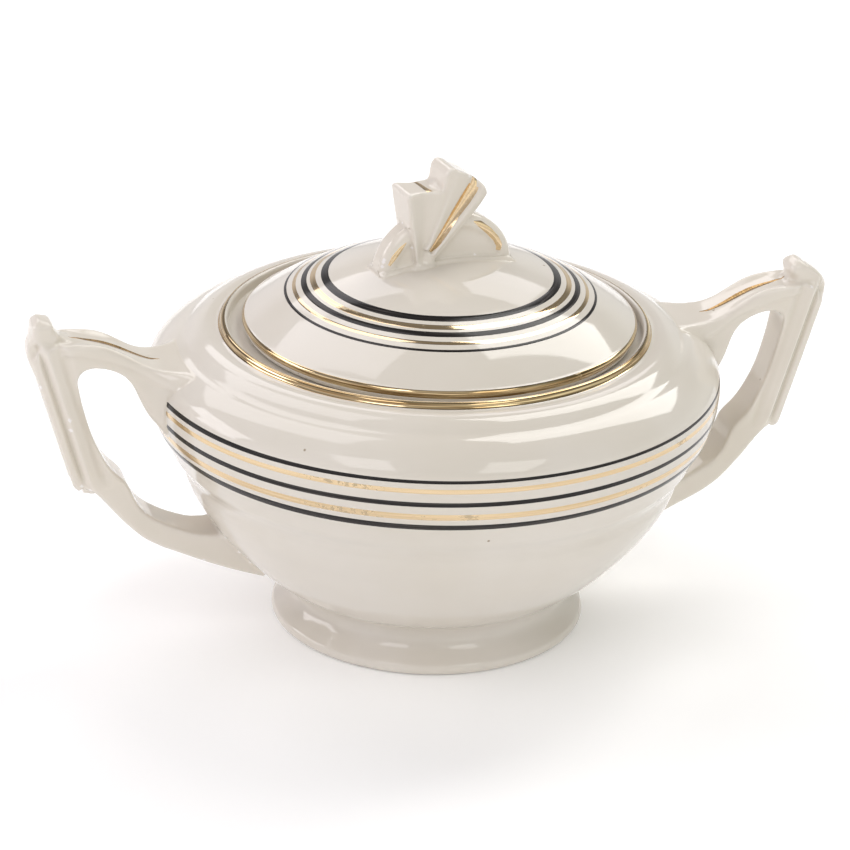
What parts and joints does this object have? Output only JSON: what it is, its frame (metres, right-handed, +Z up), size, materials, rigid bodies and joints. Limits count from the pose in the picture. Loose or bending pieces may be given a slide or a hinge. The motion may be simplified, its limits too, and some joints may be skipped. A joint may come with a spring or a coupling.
{
  "type": "covered sugar bowl",
  "caption": "Glazed ceramic covered sugar bowl on a flared foot, with angular ear handles, fan finial and banded rim.",
  "frame": {"origin": "on the bowl's axis, in the plane that the foot ring stands on", "axes": "+Z up along the bowl's axis, +X through the handle whose crest slopes, the other handle on -X"},
  "size_m": [0.1728, 0.1204, 0.1014],
  "materials": {
    "ivory_glaze": "glossy ivory glaze over white earthenware",
    "gilding": "thin bright fired gold, worn at the edges",
    "black_enamel": "glossy black enamel line"
  },
  "bodies": {
    "bowl": {"bowl": "ivory_glaze", "foot_ring": "ivory_glaze", "handle_left": "ivory_glaze", "handle_right": "ivory_glaze"},
    "lid": {"lid": "ivory_glaze", "lid_finial": "ivory_glaze"}
  },
  "joints": [
    {"name": "lid_lift", "type": "slide", "parent": "bowl", "child": "lid", "axis": [0, 0, 1], "range_m": [0, 0.06]}
  ]
}
